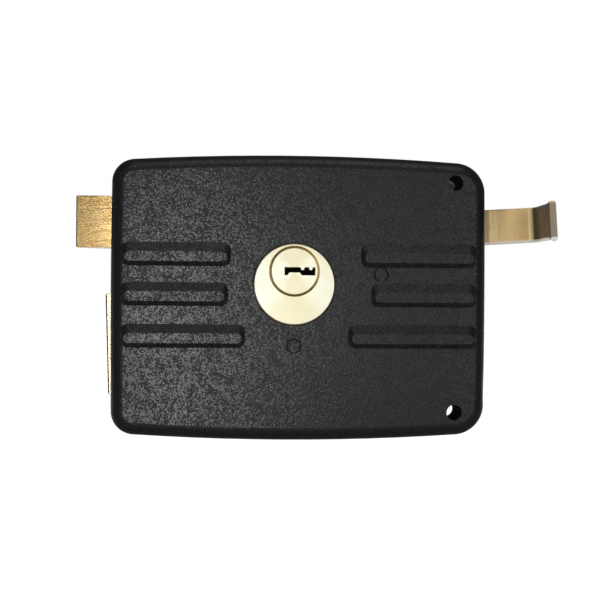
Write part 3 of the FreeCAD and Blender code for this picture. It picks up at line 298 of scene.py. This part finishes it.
def brass(name, light, dark, rough, stretch, scale, depth, edge_shade=None, node=None):
    """Machined brass whose streaks run along the axis with the smallest stretch, with painted shade at its edges."""
    n = Nodes(name)
    streak = n.noise(scale, 4.0, 0.65, stretch=stretch)
    cloud = n.noise(BRASS_CLOUD_SCALE, 4.0, 0.65)
    fine = n.noise(BRASS_FINE_SCALE, 2.0, 0.5)
    blend = n.math("ADD", n.math("MULTIPLY", streak, STREAK_SHARE), n.math("MULTIPLY", cloud, CLOUD_SHARE))
    blend = n.math("ADD", blend, n.math("MULTIPLY", fine, FINE_SHARE))
    blend = n.ramp(blend, *BRASS_SPAN)
    tint = n.mix(blend, dark, light)
    # painted shade: a dark outline on the top, low and left edges near the front
    if edge_shade is not None:
        upright = n.math("ABSOLUTE", n.facing("Z"))
        outward = n.math("MAXIMUM", n.math("MULTIPLY", n.facing("X"), -1.0), upright)
        low_corner, high_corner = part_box(node)
        thin, wide = EDGE_SHADE_BORDER
        y, z = n.part(n.place, "Y"), n.part(n.place, "Z")
        above = n.ramp(z, high_corner.z - wide, high_corner.z - thin)
        below = n.ramp(z, low_corner.z + thin, low_corner.z + wide, 1.0, 0.0)
        border = n.math("MULTIPLY", n.math("MAXIMUM", above, below), EDGE_SHADE_SHARE)
        border = n.math("MAXIMUM", border, n.ramp(outward, *EDGE_SHADE_TURN))
        front = low_corner.y
        in_front = n.ramp(y, front + EDGE_SHADE_DEPTH[0], front + EDGE_SHADE_DEPTH[1], 1.0, 0.0)
        tint = n.mix(n.math("MULTIPLY", border, in_front), tint, edge_shade)
    return n.set(
        Base_Color=tint, Metallic=1.0, Normal=n.bump(streak, STREAK_BUMP, depth),
        Roughness=n.ramp(blend, 0.0, 1.0, rough[1], rough[0], smooth=False))


def turned_brass(name, centre, groove_r, deep_span):
    """Faced brass with faint rings about an axis along Y, as a lathe leaves them, a painted sheen, a painted
    reflection on its rim, and painted shade in the groove and where it is deep.
    """
    n = Nodes(name)
    flat = n.vector("MULTIPLY", n.vector("SUBTRACT", n.place, centre), (1, 0, 1))
    away = n.vector("LENGTH", flat)
    rings = n.add("ShaderNodeTexNoise", noise_dimensions="1D")
    n.put(rings.inputs["W"], away)
    n.put(rings.inputs["Scale"], RINGS_SCALE)
    n.put(rings.inputs["Detail"], 3.0)
    cloud = n.noise(TURNED_CLOUD_SCALE, 3.0, 0.5)
    tint = n.mix(cloud, *TURNED_COLOURS)
    # painted sheen: a tint above and below the axis, for a turned face's highlights
    upright = n.math("DIVIDE", n.math("ABSOLUTE", n.part(flat, "Z")), away)
    tint = n.mix(n.ramp(upright, *SECTOR_SPAN, 0.0, SECTOR_SHARE), tint, SECTOR_SHEEN_COLOUR)
    level = n.math("ABSOLUTE", n.facing("Y"))
    # painted reflection on the bevelled rim
    tint = n.mix(n.ramp(level, *RIM_TURN, RIM_SHARE, 0.0), tint, RIM_SHADE_COLOUR)
    # painted shade in the ring gap around the plug
    from_plug = n.vector("DISTANCE", n.vector("MULTIPLY", n.place, (1, 0, 1)), PLUG_AXIS)
    groove = n.math("ABSOLUTE", n.math("SUBTRACT", from_plug, groove_r))
    tint = n.mix(n.ramp(groove, *GROOVE_WIDTH, GROOVE_SHARE, 0.0), tint, GROOVE_SHADE_COLOUR)
    # painted shade where the brass lies deep in the keyway
    y = n.part(n.place, "Y")
    front, back = deep_span
    deep = n.math(
        "MULTIPLY", n.ramp(y, front, front + DEEP_SHADE_FADE), n.ramp(y, back - DEEP_SHADE_FADE, back, 1.0, 0.0))
    deep = n.math("MULTIPLY", deep, n.math("LESS_THAN", from_plug, BORE_R))
    tint = n.mix(deep, tint, DEEP_SHADE_COLOUR)
    rough = n.ramp(cloud, *TURNED_CLOUD_SPAN, *TURNED_ROUGH, smooth=False)
    rough = n.math("ADD", rough, n.math("MULTIPLY", deep, DEEP_ROUGH))
    normal = n.bump(rings.outputs["Fac"], RINGS_BUMP, RINGS_DEPTH)
    return n.set(Base_Color=tint, Metallic=1.0, Normal=normal, Roughness=rough)


def hook_marks(n, tint):
    """The hook's marks: painted shade on the bent arm, painted highlights at the bend and on the low edge, a painted
    shadow beside the case, painted light on the dull flat, and the bare tip: its colour and how metallic it is.
    """
    x, y = n.part(n.place, "X"), n.part(n.place, "Y")
    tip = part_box("pull_hook")[0][1]
    leftward = n.math("MULTIPLY", n.facing("X"), -1.0)
    arm = n.ramp(leftward, *ARM_TURN)
    # painted highlight along the start of the bend
    bend_highlight = n.math("MULTIPLY", n.ramp(leftward, *BEND_HIGHLIGHT_START), n.ramp(leftward, *BEND_HIGHLIGHT_END, 1.0, 0.0))
    flat = n.math(
        "MULTIPLY", n.ramp(x, HOOK_X + FLAT_SPAN[0], HOOK_X + FLAT_SPAN[1]),
        n.ramp(leftward, *FLAT_TURN, 1.0, 0.0))
    # painted shadow of the case, on the hook just beside it
    case_shadow = n.math(
        "MULTIPLY", n.ramp(x, HOOK_X, HOOK_X + CASE_SHADOW_END, CASE_SHADOW_SHARE, 0.0),
        n.ramp(x, HOOK_X - CASE_SHADOW_START[0], HOOK_X - CASE_SHADOW_START[1]))
    at_tip = n.ramp(y, tip + TIP_SPAN[0], tip + TIP_SPAN[1], 1.0, 0.0)
    # painted highlight on the hook's rounded low edge
    low = n.ramp(n.math("MULTIPLY", n.facing("Z"), -1.0), *LOW_EDGE_HIGHLIGHT_TURN)
    arm_end = n.ramp(y, tip + ARM_END_SPAN[0], tip + ARM_END_SPAN[1])
    # painted light on the flat near the bend, where it would mirror the dark arm
    tint = n.mix(n.math("MULTIPLY", flat, FLAT_SHARE), tint, FLAT_LIGHT_COLOUR)
    # painted shade on the bent arm, darkest near the hook's tip
    tint = n.mix(arm, tint, n.mix(arm_end, ARM_END_SHADE_COLOUR, ARM_SHADE_COLOUR))
    for share, colour in ((bend_highlight, BEND_HIGHLIGHT_COLOUR), (case_shadow, CASE_SHADOW_COLOUR), (at_tip, TIP_COLOUR), (low, LOW_EDGE_HIGHLIGHT)):
        tint = n.mix(share, tint, colour)
    dull = n.math("MAXIMUM", n.math("MULTIPLY", arm, ARM_DULL), n.math("MULTIPLY", flat, FLAT_DULL))
    for share in (bend_highlight, at_tip, low):
        dull = n.math("MAXIMUM", dull, share)
    return tint, n.math("SUBTRACT", 1.0, n.math("MULTIPLY", dull, DULL_SHARE))


def plated_steel(name, light, dark, rough, stretch, marks=None):
    """Zinc-plated sheet steel with a fine grain, blotches and small pits."""
    n = Nodes(name)
    lines = n.noise(LINES_SCALE, 4.0, 0.6, stretch=stretch)
    blotch = n.noise(BLOTCH_SCALE, 4.0, 0.6)
    pits = n.ramp(n.noise(PITS_SCALE, 2.0, 0.5), *PITS_SPAN)
    blend = n.math("ADD", n.math("MULTIPLY", lines, LINES_SHARE), n.math("MULTIPLY", blotch, BLOTCH_SHARE))
    blend = n.ramp(blend, *STEEL_SPAN)
    in_pits = rgb(*(PITS_SHADE * v for v in dark[:3]))
    tint, metal = n.mix(pits, in_pits, n.mix(blend, dark, light)), 1.0
    if marks is not None:
        tint, metal = marks(n, tint)
    height = n.math("ADD", lines, n.math("MULTIPLY", pits, PITS_HEIGHT))
    return n.set(
        Base_Color=tint, Metallic=metal, Normal=n.bump(height, STEEL_BUMP, STEEL_DEPTH),
        Roughness=n.ramp(blend, 0.0, 1.0, rough + STEEL_ROUGH[0], rough + STEEL_ROUGH[1], smooth=False))


PAINT = wrinkle_paint()
CYLINDER = turned_brass(
    "cylinder_brass", centre=CYLINDER_AXIS, groove_r=8.25 * MM, deep_span=(-34.6 * MM, 41.0 * MM))
PLUG = turned_brass(
    "plug_brass", centre=PLUG_AXIS, groove_r=8.0 * MM, deep_span=(-35.45 * MM, 41.85 * MM))
LATCH = brass(
    "latch_brass", light=rgb(0.60, 0.42, 0.18), dark=rgb(0.36, 0.23, 0.09), rough=(0.14, 0.24),
    stretch=(60, 400, 400), scale=3.0, depth=0.07 * MM, edge_shade=rgb(0.16, 0.10, 0.04), node="latch_head")
BOLT = brass(
    "bolt_brass", light=rgb(0.84, 0.76, 0.56), dark=rgb(0.74, 0.64, 0.42), rough=(0.14, 0.20),
    stretch=(60, 400, 400), scale=3.0, depth=0.02 * MM, edge_shade=rgb(0.12, 0.11, 0.09), node="deadbolt_head")
PIN_BRASS = brass(
    "pin_brass", light=rgb(0.80, 0.64, 0.32), dark=rgb(0.62, 0.47, 0.20), rough=(0.30, 0.42),
    stretch=(300, 300, 300), scale=2.0, depth=0.01 * MM)
HOOK = plated_steel(
    "yellow_zinc", light=rgb(0.68, 0.50, 0.26), dark=rgb(0.52, 0.38, 0.19), rough=0.28,
    stretch=(1.0, 1.0, 0.12), marks=hook_marks)
HOOK.node_tree.nodes["Principled BSDF"].inputs["Specular Tint"].default_value = HOOK_GLANCE
ZINC = plated_steel(
    "clear_zinc", light=rgb(0.66, 0.66, 0.64), dark=rgb(0.50, 0.50, 0.49), rough=0.34,
    stretch=(0.15, 1.0, 1.0))
GEAR = plated_steel(
    "gear_steel", light=rgb(0.56, 0.55, 0.52), dark=rgb(0.40, 0.39, 0.37), rough=0.38,
    stretch=(1.0, 0.2, 1.0))
SPRING = plated_steel(
    "spring_steel", light=rgb(0.36, 0.36, 0.38), dark=rgb(0.22, 0.22, 0.24), rough=0.32,
    stretch=(1.0, 1.0, 1.0))

# Every node that isn't named here is clear zinc
FINISHES = {
    PAINT: ("front_cover",),
    CYLINDER: ("inner_cylinder_body", "outer_cylinder_body"),
    PLUG: ("inner_plug", "outer_plug"),
    LATCH: ("latch_head",),
    BOLT: ("deadbolt_head",),
    PIN_BRASS: ("inner_key_pins", "outer_key_pins", "inner_chamber_caps", "outer_chamber_caps"),
    HOOK: ("pull_hook",),
    GEAR: (
        "cover_screws", "bridge_screws", "inner_cylinder_screws", "outer_cylinder_screws",
        "drive_gear", "reduction_gear", "gear_axle", "rack_plate", "bolt_guides", "lever_stud", "spring_rod"),
    SPRING: (
        "latch_spring", "inner_plug_clip", "outer_plug_clip", "axle_clip", "lever_clip",
        "inner_pin_springs", "outer_pin_springs"),
}
finish_of = {name: material for material, names in FINISHES.items() for name in names}
for name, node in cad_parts.items():
    node.data.materials.clear()
    node.data.materials.append(finish_of.get(name, ZINC))


def make_spring():
    """The latch's spring as one coiled wire, in the place of the model's spring, which it hides."""
    low_corner, high_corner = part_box("latch_spring")
    centre = (low_corner + high_corner) / 2
    coil_r = (high_corner.z - low_corner.z) / 2 - SPRING_WIRE_R
    start, end = low_corner.x + SPRING_WIRE_R, high_corner.x - SPRING_WIRE_R
    steps = SPRING_TURNS * SPRING_STEPS
    along = Vector((1, 0, 0))
    around = [math.tau * k / WIRE_SIDES for k in range(WIRE_SIDES)]
    rings = []
    for i in range(steps + 1):
        turn = math.tau * i / SPRING_STEPS
        outward = Vector((0, math.sin(turn), -math.cos(turn)))
        middle = Vector((start + (end - start) * i / steps, centre.y, centre.z)) + outward * coil_r
        rings.append([middle + (outward * math.cos(a) + along * math.sin(a)) * SPRING_WIRE_R for a in around])
    faces = [
        (i * WIRE_SIDES + k, i * WIRE_SIDES + (k + 1) % WIRE_SIDES,
         (i + 1) * WIRE_SIDES + (k + 1) % WIRE_SIDES, (i + 1) * WIRE_SIDES + k)
        for i in range(steps) for k in range(WIRE_SIDES)]
    faces += [tuple(reversed(range(WIRE_SIDES))), tuple(range(steps * WIRE_SIDES, (steps + 1) * WIRE_SIDES))]
    mesh = bpy.data.meshes.new("latch_spring_coil")
    mesh.from_pydata([tuple(v) for ring in rings for v in ring], [], faces)
    mesh.polygons.foreach_set("use_smooth", [len(f) == 4 for f in faces])
    mesh.materials.append(SPRING)
    coil = bpy.data.objects.new("latch_spring_coil", mesh)
    scene.collection.objects.link(coil)
    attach(coil, "case")
    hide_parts("latch_spring")
    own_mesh(coil)


def mixed(nodes, links, factor, first, second):
    """Mixes two shaders by a factor."""
    node = nodes.new("ShaderNodeMixShader")
    for socket, output in zip(node.inputs, (factor, first, second)):
        links.new(output, socket)
    return node.outputs[0]


def background(nodes, shade, strength):
    node = nodes.new("ShaderNodeBackground")
    node.inputs["Color"].default_value = rgb(*shade)
    node.inputs["Strength"].default_value = strength
    return node


def along_y(nodes, links, vector, span, values):
    """A value that goes from the first to the second as the vector's Y goes through a span."""
    split = nodes.new("ShaderNodeSeparateXYZ")
    links.new(vector, split.inputs[0])
    fade = nodes.new("ShaderNodeMapRange")
    fade.interpolation_type = "SMOOTHSTEP"
    for socket, value in zip(fade.inputs[1:5], (*span, *values)):
        socket.default_value = value
    links.new(split.outputs["Y"], fade.inputs[0])
    return fade.outputs[0]


def ray_kinds(nodes, links):
    """1 for rays from the camera and through glass, where the background shows, and 1 for mirrored rays."""
    path = nodes.new("ShaderNodeLightPath")
    add = nodes.new("ShaderNodeMath")
    add.operation = "MAXIMUM"
    links.new(path.outputs["Is Camera Ray"], add.inputs[0])
    links.new(path.outputs["Is Transmission Ray"], add.inputs[1])
    return add.outputs[0], path.outputs["Is Glossy Ray"]


def make_world():
    """White where it is seen. Metal mirrors it too: the white backdrop behind, a dimmer room in front."""
    world = bpy.data.worlds.new("studio")
    scene.world = world
    world.use_nodes = True
    nodes, links = world.node_tree.nodes, world.node_tree.links
    nodes.clear()
    seen, mirrored = ray_kinds(nodes, links)
    white = background(nodes, WHITE, 1.0).outputs[0]
    light = background(nodes, WORLD_COLOUR, WORLD_LIGHT).outputs[0]
    room = background(nodes, ROOM_COLOUR, 1.0)
    way = nodes.new("ShaderNodeTexCoord").outputs["Generated"]
    strength = along_y(nodes, links, way, BACKDROP_EDGE, (ROOM_DIM, BACKDROP_LIGHT))
    links.new(strength, room.inputs["Strength"])
    lit = mixed(nodes, links, mirrored, light, room.outputs[0])
    final = mixed(nodes, links, seen, lit, white)
    out = nodes.new("ShaderNodeOutputWorld")
    links.new(final, out.inputs["Surface"])


def make_floor():
    """A pale floor below the lock with a glow of its own, which metal mirrors as a dimmer one in front."""
    mesh = bpy.data.meshes.new("floor")
    half = FLOOR_HALF
    corners = [(-half, -half, FLOOR_Z), (half, -half, FLOOR_Z), (half, half, FLOOR_Z), (-half, half, FLOOR_Z)]
    mesh.from_pydata(corners, [], [(0, 1, 2, 3)])
    floor = bpy.data.objects.new("floor", mesh)
    scene.collection.objects.link(floor)
    material = bpy.data.materials.new("pale_floor")
    material.use_nodes = True
    nodes, links = material.node_tree.nodes, material.node_tree.links
    nodes.clear()
    matt, dim = (nodes.new("ShaderNodeBsdfDiffuse") for _ in range(2))
    matt.inputs["Color"].default_value = rgb(FLOOR_GREY, FLOOR_GREY, FLOOR_GREY)
    dim.inputs["Color"].default_value = rgb(FLOOR_DIM, FLOOR_DIM, FLOOR_DIM)
    glow = nodes.new("ShaderNodeEmission")
    glow.inputs["Strength"].default_value = FLOOR_GLOW
    both = nodes.new("ShaderNodeAddShader")
    links.new(matt.outputs[0], both.inputs[0])
    links.new(glow.outputs[0], both.inputs[1])
    seen, mirrored = ray_kinds(nodes, links)
    place = nodes.new("ShaderNodeNewGeometry").outputs["Position"]
    behind = along_y(nodes, links, place, FLOOR_BEHIND, (0.0, 1.0))
    image = mixed(nodes, links, behind, dim.outputs[0], both.outputs[0])
    shown = mixed(nodes, links, mirrored, matt.outputs[0], image)
    shown = mixed(nodes, links, seen, shown, both.outputs[0])
    out = nodes.new("ShaderNodeOutputMaterial")
    links.new(shown, out.inputs["Surface"])
    floor.data.materials.append(material)


def panel(name, place, size, radiance):
    """A soft light panel that faces the lock, as bright as a white card of that radiance."""
    light = bpy.data.lights.new(name, "AREA")
    light.shape = "RECTANGLE"
    light.size, light.size_y = size
    light.energy = radiance * math.pi * size[0] * size[1]
    holder = bpy.data.objects.new(name, light)
    scene.collection.objects.link(holder)
    holder.location = place
    holder.rotation_euler = (-Vector(place)).to_track_quat("-Z", "Y").to_euler()
    holder.visible_camera = False


def make_camera():
    data = bpy.data.cameras.new("camera")
    data.sensor_width = SENSOR_MM
    data.lens = FOCAL_PX / FRAME_PX * SENSOR_MM
    data.clip_start, data.clip_end = CAMERA_REACH
    camera = bpy.data.objects.new("camera", data)
    scene.collection.objects.link(camera)
    turn = (
        Matrix.Rotation(math.radians(-CAMERA_YAW), 4, "Z")
        @ Matrix.Rotation(math.radians(90), 4, "X")
        @ Matrix.Rotation(math.radians(CAMERA_ROLL), 4, "Z"))
    camera.matrix_world = Matrix.Translation(CAMERA_PLACE) @ turn
    scene.camera = camera


make_spring()
make_world()
make_floor()
for name, place, size, radiance in PANELS:
    panel(name, place, size, radiance)
make_camera()
scene.view_settings.view_transform = "Standard"
